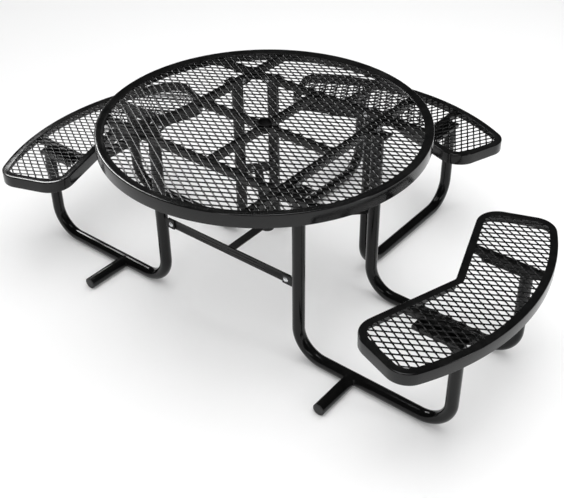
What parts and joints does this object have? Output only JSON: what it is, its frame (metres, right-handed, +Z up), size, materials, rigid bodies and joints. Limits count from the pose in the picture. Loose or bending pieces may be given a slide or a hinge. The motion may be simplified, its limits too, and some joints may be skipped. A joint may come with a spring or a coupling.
{
  "type": "picnic table",
  "caption": "Round mesh-top picnic table with curved seats on bent tube legs, an umbrella hole and one open side for a wheelchair.",
  "frame": {"origin": "on the ground under the middle of the round top", "axes": "+Z up; +X towards the right seat; +Y towards the back seat; the open wheelchair side faces -Y"},
  "size_m": [2.114, 1.641, 0.745],
  "materials": {
    "coated_mesh": "glossy black thermoplastic coating over expanded steel",
    "coated_rim": "glossy black thermoplastic coating over sheet steel",
    "tube_paint": "gloss black powder coat",
    "bar_paint": "gloss black coating on square tube",
    "brace_paint": "semi-gloss black powder coat",
    "zinc_bolt": "bright zinc plate",
    "zinc_nut": "zinc plate",
    "cap_plastic": "black moulded plastic"
  },
  "bodies": {
    "root": {"back_bar_left": "bar_paint", "back_bar_middle": "bar_paint", "back_bar_right": "bar_paint", "back_leg_bracket_left": "tube_paint", "back_leg_bracket_right": "tube_paint", "back_leg_left": "tube_paint", "back_leg_right": "tube_paint", "back_seat_bar_left": "bar_paint", "back_seat_bar_right": "bar_paint", "back_seat_channel_left": "tube_paint", "back_seat_channel_right": "tube_paint", "back_seat_deck": "coated_mesh", "back_seat_rim": "coated_rim", "brace_bolts": "zinc_bolt", "brace_corner_bars": "bar_paint", "brace_corner_links": "brace_paint", "brace_front_bar": "bar_paint", "brace_front_link": "brace_paint", "brace_lugs": "brace_paint", "brace_nuts": "zinc_nut", "centre_bar_back": "bar_paint", "centre_bar_front": "bar_paint", "centre_bar_left": "bar_paint", "centre_bar_right": "bar_paint", "front_bar_left": "bar_paint", "front_bar_middle": "bar_paint", "front_bar_right": "bar_paint", "left_bar": "bar_paint", "left_leg_back": "tube_paint", "left_leg_bracket_back": "tube_paint", "left_leg_bracket_front": "tube_paint", "left_leg_front": "tube_paint", "left_seat_bar_back": "bar_paint", "left_seat_bar_front": "bar_paint", "left_seat_channel_back": "tube_paint", "left_seat_channel_front": "tube_paint", "left_seat_deck": "coated_mesh", "left_seat_rim": "coated_rim", "left_stub_foot": "tube_paint", "leg_bolts": "zinc_bolt", "leg_nuts": "zinc_nut", "right_bar": "bar_paint", "right_leg_back": "tube_paint", "right_leg_bracket_back": "tube_paint", "right_leg_bracket_front": "tube_paint", "right_leg_front": "tube_paint", "right_seat_bar_back": "bar_paint", "right_seat_bar_front": "bar_paint", "right_seat_channel_back": "tube_paint", "right_seat_channel_front": "tube_paint", "right_seat_deck": "coated_mesh", "right_seat_rim": "coated_rim", "right_stub_foot": "tube_paint", "seat_bolts": "zinc_bolt", "seat_inserts": "zinc_nut", "stub_caps": "cap_plastic", "table_deck": "coated_mesh", "table_rim": "coated_rim", "umbrella_collar": "coated_rim", "umbrella_ring": "brace_paint"}
  },
  "joints": []
}
